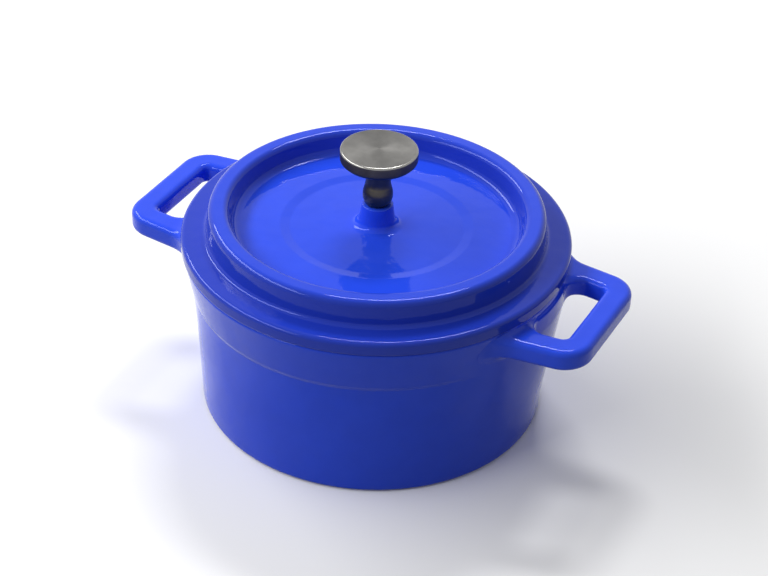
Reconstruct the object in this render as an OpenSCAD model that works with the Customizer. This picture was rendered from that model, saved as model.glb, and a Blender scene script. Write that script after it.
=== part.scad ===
// Small round cocotte: a cast pot with two loop handles, a recessed lid and a turned knob.
// The origin is the middle of the foot, +Z is up and the handles lie along X. Millimetres.

/* [Pot] */
// Height of the rim above the surface it stands on
pot_h = 50.3; // [40:0.1:75]
// Outer radius of the wall just under the collar
wall_r = 51.7; // [46:0.1:120]
// Draft of the wall, from the collar in to the foot
wall_draft = 1.9; // [0:0.1:4]
// Height of the flared collar
collar_h = 13.7; // [10:0.1:17]
// Width of the ledge where the collar starts
ledge_w = 0.5; // [0.2:0.05:1]
// Flare of the collar, from the ledge out to the rim
collar_flare = 2.7; // [1:0.1:5]
// Width of the rim
rim_w = 5.1; // [4.2:0.1:7]
// Thickness of the wall below the collar
wall_t = 3.1; // [2:0.1:5]
// Thickness of the floor over the foot
floor_t = 3.8; // [2.5:0.1:7]
// Radius of the outer bottom corner
base_corner_r = 1.4; // [0.5:0.1:5]
// Radius of the inner bottom corner
inner_corner_r = 8; // [3:0.5:12]
// Radius of the rim's rounded edges
rim_edge_r = 0.8; // [0.3:0.1:1.2]
// Width of the flat ring it stands on
foot_w = 9; // [4:0.5:16]
// Depth of the hollow inside the foot
foot_recess = 0.8; // [0.3:0.1:1.5]

/* [Handles] */
// Distance that a handle reaches out past the rim
handle_out = 17.2; // [14:0.1:30]
// Half length of the straight bar, to where the arms' outer sides meet its line
handle_half = 20.5; // [16:0.1:26]
// Half distance between the arms' outer sides at the collar
root_half = 22.7; // [17:0.1:28]
// Width of the bar
bar_w = 7.4; // [5:0.1:10]
// Width of the arms
arm_w = 7.7; // [5:0.1:9]
// Thickness of the handle
handle_t = 6.2; // [4:0.1:8]
// Drop from the rim to the handle's top face
handle_drop = 1.6; // [0.5:0.1:4]
// Radius of the loop's outer corners
outer_corner_r = 8.7; // [4:0.5:11]
// Radius of the finger hole's outer corners
hole_corner_r = 2; // [1:0.1:4]
// Radius of the fillets between the arms' outer sides and the collar
root_fillet_r = 12; // [4:0.5:18]
// Radius of the fillets between the collar and the hole
hole_fillet_r = 4.4; // [1:0.1:5]
// Radius of the handle's rounded edges
handle_edge_r = 1.7; // [0.8:0.1:1.9]
// Length of the slope over a root, up to the rim's edge
root_slope = 4; // [1:0.1:6]
// Radius of the fillet under a root
web_fillet_r = 2; // [0.4:0.1:3]
// Swelling of the wall behind the middle of a handle, where it meets the handle's underside
cheek_out = 3.4; // [1:0.1:4.5]
// Height above the foot where that swelling starts
cheek_z = 3; // [2:0.5:15]

/* [Lid] */
// Distance that the lid's edge stands out past the rim
lid_overhang = 0.1; // [-1:0.1:2]
// Height of the lid's upright edge
lip_h = 4.1; // [3:0.1:6]
// Radius of the edge's rounded corners
lip_edge_r = 1.3; // [0.5:0.1:1.5]
// Rise of the brim from the edge to the ring
brim_rise = 0.2; // [0:0.1:1.5]
// Width of the brim outside the raised ring
brim_w = 7.8; // [5:0.1:12]
// Height of the ring's crest above the rim
ring_h = 11.8; // [9:0.1:17]
// Width of the crest
crest_w = 5.6; // [4:0.1:7]
// Height of the dish floor above the rim
dish_h = 5.4; // [4:0.1:8]
// Slope of the ring's inner wall, from the crest in to the dish floor
ring_slope = 1.2; // [0.2:0.1:4]
// Radius of the shallow round recess in the dish floor
recess_r = 25.8; // [16:0.1:33]
// Depth of that recess
recess_depth = 0.5; // [0.2:0.1:1]
// Thickness of the dish
dish_t = 3.2; // [2.5:0.1:4]
// Radius of the boss under the knob
boss_r = 4.6; // [4.4:0.1:7]
// Height of the boss above the dish floor
boss_h = 7.7; // [5:0.1:10]
// Radius of the flare where the boss meets the floor
boss_flare_r = 2.6; // [2:0.1:4.5]
// Depth of the locating ring under the lid
spigot_h = 3.6; // [1.5:0.1:5]
// Thickness of the locating ring
spigot_t = 3; // [2:0.1:5]
// Clearance between the locating ring and the mouth
spigot_clearance = 0.6; // [0.3:0.05:1.2]

/* [Knob] */
// Radius of the knob's disc
knob_r = 10.8; // [8:0.1:15]
// Height of the knob above the boss
knob_h = 17.4; // [13:0.1:25]
// Height of the disc's upright edge
knob_edge_h = 3.2; // [1:0.1:4]
// Width of the chamfer under that edge
knob_chamfer_w = 0.9; // [0.6:0.1:2.5]
// Height of that chamfer
knob_chamfer_h = 0.9; // [0.5:0.1:2]
// Rise of the disc's underside from the neck to the chamfer
knob_flare_h = 1.4; // [0.8:0.1:3]
// Radius of the neck
neck_r = 3.5; // [3.3:0.1:5]
// Height of the neck's foot above the boss, where the bulge ends
neck_z = 6.3; // [5:0.1:9]
// Radius of the bulge at the foot of the knob
bulge_r = 4.4; // [4:0.1:6]
// Height of the bulge's widest place above the boss
bulge_z = 1.9; // [1.5:0.1:4]

/* [Fixings] */
// Nominal radius of the knob's screw
screw_r = 2.5; // [2:0.25:2.5]
// Length of the screw under its head
screw_len = 20; // [17:0.5:21]
// Radius of the screw's pan head
head_r = 4.75; // [4:0.25:6]
// Height of the pan head
head_h = 3; // [2:0.1:3.5]
// Clearance round the screw in the lid's bore
bore_clearance = 0.25; // [0.15:0.05:0.4]
// Clearance round the screw in the knob's threaded hole
thread_clearance = 0.08; // [0.06:0.01:0.15]
// Clearance round the screw in the washers
washer_clearance = 0.15; // [0.1:0.05:0.3]
// Free depth of the knob's hole past the end of the screw
hole_spare = 1; // [0.5:0.1:2]
// Outer radius of the flat washer
washer_r = 5; // [4.8:0.1:8]
// Thickness of the flat washer
washer_t = 1; // [0.6:0.1:1.6]
// Outer radius of the split lock washer
lock_r = 4.6; // [4.2:0.1:6]
// Thickness of the split lock washer
lock_t = 1.2; // [0.8:0.1:1.6]
// Width of the split
split_w = 0.6; // [0.3:0.1:1.2]
// Slant of the split from upright
split_angle = 35; // [0:5:45]

/* [Hidden] */
$fn = 96;

// Pot radii
base_r = wall_r - wall_draft;
ledge_r = wall_r + ledge_w;
rim_r = ledge_r + collar_flare;
mouth_r = rim_r - rim_w;
// Straight depth of the mouth below the rim, past the lid's locating ring
mouth_depth = spigot_h + 1.6;
// Height where the collar starts
collar_z = pot_h - collar_h;
// Rise of the ledge under the collar
ledge_rise = 1.2;
// Radius that softens the ledge
ledge_blend_r = 0.9;
// Radii at the edges of the foot's ring, at the foot of the mouth and at the bend of the inside wall
foot_edge_r = 1;
mouth_step_r = 3;
wall_bend_r = 6;
// Height of the inside floor
floor_z = foot_recess + floor_t;
// Inner radius of the foot's flat ring
foot_in_r = base_r - base_corner_r - foot_w;

// Distance from the pot's axis to the outer face of a handle, and the handle's heights
handle_reach = rim_r + handle_out;
handle_top = pot_h - handle_drop;
handle_bottom = handle_top - handle_t;
// Depth to which the handle's roots run into the wall
root_depth = 1.6;
// Half the handle's height, the collar's slope and its radius at that height
grip_z = (handle_top + handle_bottom) / 2;
collar_slope = collar_flare / (collar_h - ledge_rise);
grip_r = ledge_r + collar_slope * (grip_z - collar_z - ledge_rise);
// Depth in the collar of the circle that the roots' fillets meet
root_bite = 0.12;
// Radius of that circle
bite_r = grip_r - root_bite;
// Distance from the collar over which a handle's root leans with it
lean_reach = 8;
// Rise of the slope over a root
root_rise = handle_drop - rim_edge_r / 2;
// Steps in each rounded corner of the handle's outline and of its section
outline_steps = 7;
section_steps = 4;
// The swelling behind a handle turns about an axis of its own, this far out from the pot's axis
cheek_shift = 12;
// Depth of the swelling's top edge below the handle's top face, and radii along its profile
cheek_drop = 0.3;
cheek_bend_r = 8;
cheek_edge_r = 1.2;
// Height where its profile starts, inside the wall and above the rounded corner of the foot
cheek_low_z = base_corner_r + 0.2;

// Lid heights and radii
brim_z = pot_h + lip_h;
crest_z = pot_h + ring_h;
dish_z = pot_h + dish_h;
recess_z = dish_z - recess_depth;
boss_z = dish_z + boss_h;
lid_under_z = recess_z - dish_t;
lid_r = rim_r + lid_overhang;
ring_r = lid_r - brim_w;
dish_r = ring_r - crest_w - ring_slope;
spigot_r = mouth_r - spigot_clearance;
bore_r = screw_r + bore_clearance;
// Half width of the soft slope round the recess
recess_slope = 1.4;
// Radius that softens the recess
recess_blend_r = 4;
// Lean of the ring's outer wall towards its foot
ring_lean = 0.7;
// Spread of the boss towards its foot
boss_spread = 2;
// Radii along the ring: at its outer foot, at both edges of its crest and where it meets the dish
ring_foot_r = 1.4;
crest_edge_r = 1.9;
dish_fillet_r = 2.4;
// Radii at the edges of the boss, of the bore and of the locating ring, and in the ring's inner corner
boss_edge_r = 0.5;
bore_edge_r = 0.3;
spigot_edge_r = 0.7;
spigot_corner_r = 2;

// Fixing heights, from the underside of the lid down
washer_z = lid_under_z - washer_t;
lock_z = washer_z - lock_t;
head_z = lock_z - head_h;
// Heights of the knob's top face and of the edge under its disc's rim
knob_top = boss_z + knob_h;
knob_edge_z = knob_top - knob_edge_h;
// Length of the neck between the bulge and the disc's underside
neck_len = knob_edge_z - knob_chamfer_h - knob_flare_h - boss_z - neck_z;
// Radii that round the disc's top edge, its chamfer, the turn into the neck, the neck and the bulge.
// Those at the ends of the neck are less on a short one.
knob_edge_r = 0.35;
chamfer_r = 0.6;
flare_r = min(1.6, 0.6 * neck_len);
neck_blend_r = min(6, 2 * neck_len);
bulge_round_r = 1.6;
// Distance that the outline's corner stands out past the rounded bulge, and in from the neck at its foot
bulge_lead = 0.2;
// Depth and radius of the knob's threaded hole
hole_depth = lock_z + screw_len + hole_spare - boss_z;
hole_r = screw_r + thread_clearance;
hole_edge_r = 0.2;
// Radii that round the screw's head, the head's rim and the screw's point
head_round_r = 1.6;
head_rim_r = 0.2;
point_r = 0.5;
// Depth, width and reach of the cross recess in the screw's head
cross_depth = 1.9;
cross_w = 1.1;
cross_reach = 2.3;

// --- Outline helpers ---

function unit(v) = v / norm(v);

// Left-hand normal of a direction
function left(v) = [-v[1], v[0]];

// Turn from direction u to direction v, in degrees, anticlockwise positive
function turn(u, v) = atan2(u[0] * v[1] - u[1] * v[0], u * v);

// Points on an arc about c, from angle a0 through a sweep, in n steps
function arc(c, r, a0, sweep, n) =
    [for (i = [0 : n]) c + r * [cos(a0 + sweep * i / n), sin(a0 + sweep * i / n)]];

// The corner at b on the way from a to c, rounded by radius r in n steps
function corner(a, b, c, r, n) =
    let (
        u = unit(b - a),
        t = turn(u, unit(c - b)),
        side = t > 0 ? 1 : -1,
        start = b - u * r * tan(abs(t) / 2),
        middle = start + side * r * left(u),
        out = start - middle
    )
    arc(middle, r, atan2(out[1], out[0]), t, n);

// A closed outline through corners given as [x, y, radius], with a step for every 11 degrees of turn
function rounded(c) =
    let (n = len(c), p = [for (q = c) [q[0], q[1]]])
    [for (i = [0 : n - 1])
        let (
            a = p[(i + n - 1) % n],
            b = p[i],
            d = p[(i + 1) % n],
            steps = ceil(abs(turn(unit(b - a), unit(d - b))) / 11)
        )
        each c[i][2] > 0 && steps > 0 ? corner(a, b, d, c[i][2], steps) : [b]];

// --- Pot ---

function pot_profile() = rounded([
    [0, foot_recess, 0],
    [foot_in_r - foot_recess, foot_recess, foot_edge_r],
    [foot_in_r + foot_recess, 0, foot_edge_r],
    [base_r, 0, base_corner_r],
    [wall_r, collar_z, ledge_blend_r],
    [ledge_r, collar_z + ledge_rise, ledge_blend_r],
    [rim_r, pot_h, rim_edge_r],
    [mouth_r, pot_h, rim_edge_r],
    [mouth_r, pot_h - mouth_depth, mouth_step_r],
    [wall_r - wall_t, collar_z, wall_bend_r],
    [base_r - wall_t, floor_z, inner_corner_r],
    [0, floor_z, 0]
]);

// The fillet between one side of an arm and the collar, from the collar out to the side.
// The side runs from point a towards the pot along u, and the fillet lies to its left or right.
function root_fillet(a, u, r, side) =
    let (
        o = a + side * r * left(u),
        along = o * u,
        reach = along * along - o * o + (bite_r + r) * (bite_r + r),
        middle = o - u * (along + sqrt(reach)),
        on_side = a - u * (along + sqrt(reach) - (o - a) * u),
        from_wall = -middle,
        to_side = -side * left(u)
    )
    arc(middle, r, atan2(from_wall[1], from_wall[0]), turn(from_wall, to_side), outline_steps);

// Half of the loop's outer outline (inset 0) or of its hole, from the root to the middle of the bar
function loop_half(bar_inset, arm_inset, root_r, corner_r, side) =
    let (
        u = unit([bite_r, root_half] - [handle_reach, handle_half]),
        x = handle_reach - bar_inset,
        on_arm = [handle_reach, handle_half] + arm_inset * left(u),
        a = on_arm + u * (x - on_arm[0]) / u[0],
        fillet = root_fillet(a, u, root_r, side)
    )
    concat(
        [fillet[0] * (1 - root_depth / bite_r)],
        fillet,
        corner(a + u, a, [x, 0], corner_r, outline_steps)
    );

// A whole outline from its half
function both_halves(h) = concat(h, [for (i = [len(h) - 1 : -1 : 0]) [h[i][0], -h[i][1]]]);

// Rise of a quarter of an ellipse, reach long and rise high, at distance d from the collar
function web(d, reach, rise) =
    d >= reach ? 0 : rise * (1 - sqrt(1 - pow(1 - max(d, 0) / reach, 2)));

// A point p at height z, leant with the collar's cone where it is near the collar
function leant(p, z) =
    let (
        near = max(0, 1 - max(norm(p) - grip_r, 0) / lean_reach),
        k = 1 + collar_slope * (z - grip_z) * near / norm(p)
    )
    [p[0] * k, p[1] * k, z];

// The handle's section between point i on the hole and point o on the outer outline
function section(i, o) =
    let (
        w = norm(o - i),
        u = (o - i) / w,
        di = norm(i) - grip_r,
        do = norm(o) - grip_r,
        q = [
            [0, handle_bottom - web(di, web_fillet_r, web_fillet_r)],
            [w, handle_bottom - web(do, web_fillet_r, web_fillet_r)],
            [w, handle_top + web(do, root_slope, root_rise)],
            [0, handle_top + web(di, root_slope, root_rise)]
        ]
    )
    [for (k = [0 : 3])
        for (p = corner(q[(k + 3) % 4], q[k], q[(k + 1) % 4], handle_edge_r, section_steps))
            leant(i + u * p[0], p[1])];

// One loop handle, lofted through its sections from root to root
module handle() {
    outer = both_halves(loop_half(0, 0, root_fillet_r, outer_corner_r, -1));
    hole = both_halves(loop_half(bar_w, arm_w, hole_fillet_r, hole_corner_r, 1));
    n = len(outer);
    m = 4 * (section_steps + 1);
    points = [for (k = [0 : n - 1]) each section(hole[k], outer[k])];
    sides = [for (k = [0 : n - 2], j = [0 : m - 1])
        [(k + 1) * m + j, (k + 1) * m + (j + 1) % m, k * m + (j + 1) % m, k * m + j]];
    start = [for (j = [0 : m - 1]) j];
    end = [for (j = [m - 1 : -1 : 0]) (n - 1) * m + j];
    polyhedron(points, concat([start], sides, [end]), convexity = 6);
}

// Radius of the wall's outside at height z, along its draft
function wall_at(z) = base_r + wall_draft * z / collar_z;

// Radius of the swelling's cone at height z, about its own axis
function cheek_at(z) =
    wall_at(z) - cheek_shift + cheek_out * (z - cheek_z) / (handle_bottom - cheek_z);

// The swelling of the wall behind a handle. Its inner side lies in the middle of the wall.
module cheek() difference() {
    translate([cheek_shift, 0, 0]) rotate_extrude() polygon(rounded([
        [0, cheek_low_z, 0],
        [cheek_at(cheek_low_z), cheek_low_z, 0],
        [cheek_at(handle_bottom), handle_bottom, cheek_bend_r],
        [cheek_at(handle_bottom), handle_top - cheek_drop, cheek_edge_r],
        [0, handle_top - cheek_drop, 0]
    ]));
    cylinder(pot_h, r1 = wall_at(0) - wall_t / 2, r2 = wall_at(pot_h) - wall_t / 2);
}

module pot() color("royalblue") {
    rotate_extrude() polygon(pot_profile());
    for (a = [0, 180]) rotate([0, 0, a]) {
        handle();
        cheek();
    }
}

// --- Lid ---

function lid_profile() = rounded([
    [bore_r, lid_under_z, bore_edge_r],
    [spigot_r - spigot_t, lid_under_z, spigot_corner_r],
    [spigot_r - spigot_t, pot_h - spigot_h, spigot_edge_r],
    [spigot_r, pot_h - spigot_h, spigot_edge_r],
    [spigot_r, pot_h, 0],
    [lid_r, pot_h, rim_edge_r],
    [lid_r, brim_z, lip_edge_r],
    [ring_r + ring_lean, brim_z + brim_rise, ring_foot_r],
    [ring_r, crest_z, crest_edge_r],
    [ring_r - crest_w, crest_z, crest_edge_r],
    [dish_r, dish_z, dish_fillet_r],
    [recess_r + recess_slope, dish_z, recess_blend_r],
    [recess_r - recess_slope, recess_z, recess_blend_r],
    [boss_r + boss_spread, recess_z, boss_flare_r],
    [boss_r, boss_z, boss_edge_r],
    [bore_r, boss_z, bore_edge_r]
]);

module lid() color("royalblue") rotate_extrude() polygon(lid_profile());

// --- Knob ---

function knob_profile() = rounded([
    [0, boss_z + hole_depth, 0],
    [hole_r, boss_z + hole_depth, 0],
    [hole_r, boss_z, hole_edge_r],
    [neck_r - bulge_lead, boss_z, knob_edge_r],
    [bulge_r + bulge_lead, boss_z + bulge_z, bulge_round_r],
    [neck_r, boss_z + neck_z, neck_blend_r],
    [neck_r, knob_edge_z - knob_chamfer_h - knob_flare_h, flare_r],
    [knob_r - knob_chamfer_w, knob_edge_z - knob_chamfer_h, chamfer_r],
    [knob_r, knob_edge_z, chamfer_r],
    [knob_r, knob_top, knob_edge_r],
    [0, knob_top, 0]
]);

module knob() color("silver") rotate_extrude() polygon(knob_profile());

// --- Fixings ---

module knob_screw() color("silver") difference() {
    rotate_extrude() polygon(rounded([
        [0, head_z, 0],
        [head_r, head_z, head_round_r],
        [head_r, lock_z, head_rim_r],
        [screw_r, lock_z, 0],
        [screw_r, lock_z + screw_len, point_r],
        [0, lock_z + screw_len, 0]
    ]));
    for (a = [0, 90]) rotate([0, 0, a])
        translate([0, 0, head_z]) cube([2 * cross_reach, cross_w, 2 * cross_depth], center = true);
}

// A flat ring round the screw, from height z up
module ring(r, t, z) {
    rotate_extrude() translate([screw_r + washer_clearance, z])
        square([r - screw_r - washer_clearance, t]);
}

module lock_washer() color("gray") difference() {
    ring(lock_r, lock_t, lock_z);
    translate([(screw_r + lock_r) / 2, 0, lock_z + lock_t / 2]) rotate([split_angle, 0, 0])
        cube([lock_r, split_w, 4 * lock_t], center = true);
}

module flat_washer() color("silver") ring(washer_r, washer_t, washer_z);

pot();
lid();
knob();
knob_screw();
lock_washer();
flat_washer();
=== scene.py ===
"""A small round cocotte in enamelled cast iron: pot, loop handles, recessed lid, turned steel knob
and its fixings, with the floor, lamps and camera of a small studio. Lengths are in metres."""

import math

import bmesh
import bpy
from bpy.props import FloatProperty, FloatVectorProperty, PointerProperty, StringProperty
from mathutils import Matrix, Vector


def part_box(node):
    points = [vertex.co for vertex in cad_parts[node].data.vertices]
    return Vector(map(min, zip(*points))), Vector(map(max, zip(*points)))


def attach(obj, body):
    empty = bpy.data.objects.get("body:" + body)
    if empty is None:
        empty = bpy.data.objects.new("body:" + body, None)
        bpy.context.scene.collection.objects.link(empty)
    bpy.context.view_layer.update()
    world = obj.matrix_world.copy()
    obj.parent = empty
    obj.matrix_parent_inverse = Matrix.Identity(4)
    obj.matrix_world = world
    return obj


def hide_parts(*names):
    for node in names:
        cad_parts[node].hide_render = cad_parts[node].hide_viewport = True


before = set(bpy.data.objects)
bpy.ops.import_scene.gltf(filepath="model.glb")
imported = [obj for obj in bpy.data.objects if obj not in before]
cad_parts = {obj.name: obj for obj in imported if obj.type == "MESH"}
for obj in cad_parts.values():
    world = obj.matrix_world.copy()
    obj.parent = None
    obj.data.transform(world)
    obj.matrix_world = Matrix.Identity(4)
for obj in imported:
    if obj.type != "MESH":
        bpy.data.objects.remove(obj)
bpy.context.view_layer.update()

bl_info = {
    "name": "Cocotte",
    "version": (1, 0, 0),
    "blender": (4, 5, 0),
    "location": "3D View > Sidebar > Cocotte",
    "description": "Builds an enamelled cast-iron cocotte around its construction solids",
    "category": "Add Mesh",
}

MM = 0.001
UP = Vector((0, 0, 1))

# Places that come from the construction solids
POT_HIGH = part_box("pot")[1]
LID_LOW, LID_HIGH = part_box("lid")
KNOB_LOW, KNOB_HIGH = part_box("knob")
SCREW_LOW, SCREW_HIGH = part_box("knob_screw")
LOCK_LOW, LOCK_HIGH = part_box("lock_washer")
FLAT_LOW, FLAT_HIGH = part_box("flat_washer")
POT_BODY = "pot_body"
LID_BODY = "lid_body"

NEAR = 1e-6  # Two points closer than this are one
SHARP = math.radians(50)  # A turn of the surface sharper than this stays an edge
ARC_STEP = math.radians(9)  # Turn of each step along a rounded corner
TURNING_STEPS = 256  # Steps round a turned piece
SMALL_STEPS = 96  # Steps round a small one


# --- Settings ---------------------------------------------------------------------------------


def length(name, description, mm):
    """A length, given in millimetres and kept in metres."""
    return FloatProperty(
        name=name, description=description, default=mm * MM, min=0, unit="LENGTH", precision=5
    )


def angle(name, description, degrees):
    """An angle, given in degrees and kept in radians."""
    return FloatProperty(
        name=name, description=description, default=math.radians(degrees), subtype="ANGLE"
    )


def tint(name, description, code):
    """A colour as an sRGB hex code."""
    return StringProperty(name=name, description=description, default=code, maxlen=7)


class CocottePotSizes(bpy.types.PropertyGroup):
    """Sizes of the pot and its handles"""

    wall_draft: length("Wall draft", "From the collar in to the foot", 1.9)
    collar_h: length("Collar height", "Height of the flared collar", 13.7)
    ledge_w: length("Ledge width", "Width of the ledge where the collar starts", 0.5)
    ledge_rise: length("Ledge rise", "Height of that ledge", 1.2)
    collar_flare: length("Collar flare", "From the ledge out to the rim", 2.7)
    rim_w: length("Rim width", "Width of the rim", 5.1)
    mouth_depth: length("Mouth depth", "Straight depth of the mouth under the rim", 5.2)
    wall_t: length("Wall thickness", "Thickness of the wall under the collar", 3.1)
    floor_t: length("Floor thickness", "Thickness of the floor over the foot", 3.8)
    foot_w: length("Foot width", "Width of the ring that the pot stands on", 9)
    foot_recess: length("Foot recess", "Depth of the hollow inside that ring", 0.8)
    handle_half: length("Half bar", "Half length of a handle's bar", 20.5)
    root_half: length("Half root", "Half distance between a handle's arms at the collar", 22.7)
    bar_w: length("Bar width", "Width of a handle's bar", 7.4)
    arm_w: length("Arm width", "Width of a handle's arms", 7.7)
    handle_t: length("Handle thickness", "Thickness of a handle", 6.2)
    handle_drop: length("Handle drop", "From the rim down to a handle's top face", 1.6)
    outer_corner_r: length("Outer corner", "Radius of a handle's outer corners", 8.7)
    hole_corner_r: length("Hole corner", "Radius of the finger hole's corners", 2)
    root_fillet_r: length("Root fillet", "Radius between an arm and the collar", 12)
    hole_fillet_r: length("Hole fillet", "Radius between the collar and the hole", 4.4)
    handle_edge_r: length("Handle edge", "Radius of a handle's edges", 1.7)
    root_slope: length("Root slope", "Length of the slope over a handle's root", 4)
    root_rise: length("Root rise", "Height of that slope", 1.2)
    web_fillet_r: length("Web fillet", "Radius of the fillet under a root", 2)
    cheek_out: length("Cheek", "Swelling of the wall behind the middle of a handle", 3.4)
    cheek_z: length("Cheek foot", "Height where that swelling starts", 3)
    cheek_shift: length("Cheek shift", "From the pot's axis to the swelling's own axis", 12)


class CocotteLidSizes(bpy.types.PropertyGroup):
    """Sizes of the lid"""

    lip_h: length("Lip height", "Height of the lid's upright edge", 4.1)
    brim_rise: length("Brim rise", "Rise of the brim towards the ring", 0.2)
    brim_w: length("Brim width", "Width of the brim outside the ring", 7.8)
    ring_h: length("Ring height", "Height of the ring over the rim", 11.8)
    ring_lean: length("Ring lean", "Lean of the ring's outer wall", 0.7)
    crest_w: length("Crest width", "Width of the ring's crest", 5.6)
    ring_slope: length("Ring slope", "Slope of the ring's inner wall", 1.2)
    dish_h: length("Dish height", "Height of the dish floor over the rim", 5.4)
    dish_rise: length("Dish rise", "Rise of the dish floor towards its middle", 1.5)
    recess_r: length("Recess radius", "Radius of the shallow recess in the dish", 25.8)
    recess_depth: length("Recess depth", "Depth of that recess", 0.5)
    recess_slope: length("Recess slope", "Half width of the soft slope round it", 1.4)
    boss_r: length("Boss radius", "Radius of the boss under the knob", 4.4)
    boss_spread: length("Boss spread", "Spread of the boss towards its foot", 0.9)
    boss_flare_r: length("Boss flare", "Radius where the boss meets the floor", 2.6)
    spigot_t: length("Locating ring", "Thickness of the locating ring", 3)
    spigot_clearance: length("Clearance", "Between the locating ring and the mouth", 0.6)
    bore_r: length("Bore radius", "Radius of the hole for the screw", 2.75)


class CocotteKnobSizes(bpy.types.PropertyGroup):
    """Sizes of the knob and its fixings"""

    edge_h: length("Edge height", "Height of the disc's upright edge", 3.2)
    chamfer_w: length("Chamfer width", "Width of the chamfer under that edge", 0.9)
    chamfer_h: length("Chamfer height", "Height of that chamfer", 0.9)
    flare_h: length("Flare height", "Rise of the disc's underside", 1.4)
    neck_r: length("Neck radius", "Radius of the neck", 3.5)
    neck_z: length("Neck foot", "Height over the boss where the bulge ends", 6.7)
    bulge_r: length("Bulge radius", "Radius of the bulge at the knob's foot", 4.3)
    bulge_z: length("Bulge height", "Height of the bulge's widest place", 2.9)
    bulge_lead: length("Bulge lead", "How far its outline stands out before it is rounded", 0.2)
    screw_r: length("Screw radius", "Nominal radius of the screw", 2.5)
    thread_pitch: length("Thread pitch", "Pitch of the screw's thread", 0.8)
    washer_clearance: length("Washer clearance", "Between the washers and the screw", 0.15)
    split_w: length("Split width", "Width of the lock washer's split", 0.6)
    cross_depth: length("Cross depth", "Depth of the cross recess in the screw's head", 1.9)
    cross_w: length("Cross width", "Width of the box that cuts an arm, at its wide end", 1.1)
    cross_reach: length("Cross reach", "Half length of that box, at its wide end", 2.3)


class CocotteColours(bpy.types.PropertyGroup):
    """Colours of the finishes"""

    enamel: tint("Enamel", "Cobalt blue enamel", "#264BE2")
    # Darker blue: painted shade round the lid's ring, and mixed a little into the enamel's random
    # clouds
    enamel_mottle_and_shade: tint("Deep enamel", "Where the enamel lies thick", "#2039B4")
    sheen: tint("Enamel sheen", "Tint of what the blue enamel mirrors", "#B2C0FF")
    lining: tint("Lining", "Off-white enamel inside", "#E9E4D6")
    ground: tint("Ground coat", "Dark ground coat on the seats", "#1D1E22")
    steel: tint("Steel", "Brushed stainless steel on the knob's top", "#636260")
    # Brighter steel for the knob's edge: partly its smoother polish, partly a painted highlight
    steel_edge_highlight: tint("Polished steel", "Polished edge of the knob's top", "#8E8D8A")
    # The knob's sides: the same steel as its top, given a slightly darker, warmer colour as painted
    # shade for the darker things they mirror
    steel_sides_shade: tint("Turned steel", "Darker turned steel on the knob's sides", "#645F50")
    zinc: tint("Plating", "Bright zinc plating", "#B9BCC0")
    floor: tint("Floor", "Pale floor", "#F4F4F4")


class CocotteStudio(bpy.types.PropertyGroup):
    """Camera"""

    azimuth: angle("Azimuth", "Camera's direction round the pot", 26.64)
    elevation: angle("Elevation", "Camera's height as an angle", 35.21)
    roll: angle("Roll", "Turn of the camera about its view", 1.91)
    distance: length("Distance", "From the camera to the middle of the pot", 605.77)
    target_z: length("Target height", "Height that the camera looks at", 25.68)
    lens: FloatProperty(name="Lens", description="Focal length in millimetres", default=98.18)
    shift: FloatVectorProperty(
        name="Shift", description="Lens shift", size=2, default=(0.0132, 0.0325)
    )


# --- Modelling helpers ------------------------------------------------------------------------


def new_piece(name):
    """A new, empty object in edit mode."""
    bpy.ops.object.select_all(action="DESELECT")
    bpy.ops.mesh.primitive_plane_add(size=MM)
    piece = bpy.context.object
    piece.name = piece.data.name = name
    bpy.ops.object.mode_set(mode="EDIT")
    bpy.ops.mesh.select_mode(type="VERT")
    bpy.ops.mesh.delete(type="VERT")
    return piece


def new_vertex(place):
    """Adds one vertex, selected, in edit mode."""
    bpy.ops.mesh.select_all(action="DESELECT")
    bpy.ops.mesh.primitive_plane_add(size=MM)
    bpy.ops.mesh.merge(type="CENTER")
    bpy.ops.transform.translate(value=place)


def pull(step):
    """Extrudes what is selected by a step."""
    bpy.ops.mesh.extrude_region_move(TRANSFORM_OT_translate={"value": step})


def sweep(centre, axis, angle, steps):
    """Extrudes what is selected round an axis, anticlockwise. Spin itself turns clockwise."""
    bpy.ops.mesh.spin(steps=steps, angle=-angle, center=centre, axis=axis)


def choose(piece, kind, wanted):
    """Selects the vertices, edges or faces that are wanted, in edit mode."""
    bpy.ops.mesh.select_mode(type=kind)
    mesh = bmesh.from_edit_mesh(piece.data)
    for part in {"VERT": mesh.verts, "EDGE": mesh.edges, "FACE": mesh.faces}[kind]:
        part.select = wanted(part)
    mesh.select_flush_mode()
    bmesh.update_edit_mesh(piece.data)


def outline(name, corners, closed=True):
    """A wire in the XZ plane through corners given as (x, z, radius). It is drawn by extruding one
    vertex from corner to corner, and its corners are then bevelled."""
    places = [Vector((x, 0, z)) for x, z, _ in corners]
    piece = new_piece(name)
    new_vertex(places[0])
    for here, there in zip(places, places[1:]):
        pull(there - here)
    if closed:
        ends = (places[0], places[-1])
        choose(piece, "VERT", lambda vertex: min((vertex.co - end).length for end in ends) < NEAR)
        bpy.ops.mesh.edge_face_add()
    for i, (_, _, radius) in enumerate(corners):
        if radius == 0:
            continue
        before = (places[i] - places[i - 1]).normalized()
        after = (places[(i + 1) % len(places)] - places[i]).normalized()
        turn = before.angle(after)
        choose(piece, "VERT", lambda vertex: (vertex.co - places[i]).length < NEAR)
        bpy.ops.mesh.bevel(
            offset=radius * math.tan(turn / 2),
            segments=max(2, round(turn / ARC_STEP)),
            profile=0.5,
            affect="VERTICES",
        )
    return piece


def tidy():
    """Merges doubles and turns every face outwards, in edit mode."""
    bpy.ops.mesh.select_all(action="SELECT")
    bpy.ops.mesh.remove_doubles(threshold=NEAR)
    bpy.ops.mesh.normals_make_consistent(inside=False)


def turned(name, corners, closed=True, steps=TURNING_STEPS):
    """A solid of revolution about Z from a half outline, left in edit mode."""
    piece = outline(name, corners, closed)
    bpy.ops.mesh.select_all(action="SELECT")
    sweep((0, 0, 0), UP, math.tau, steps)
    tidy()
    return piece


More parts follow.
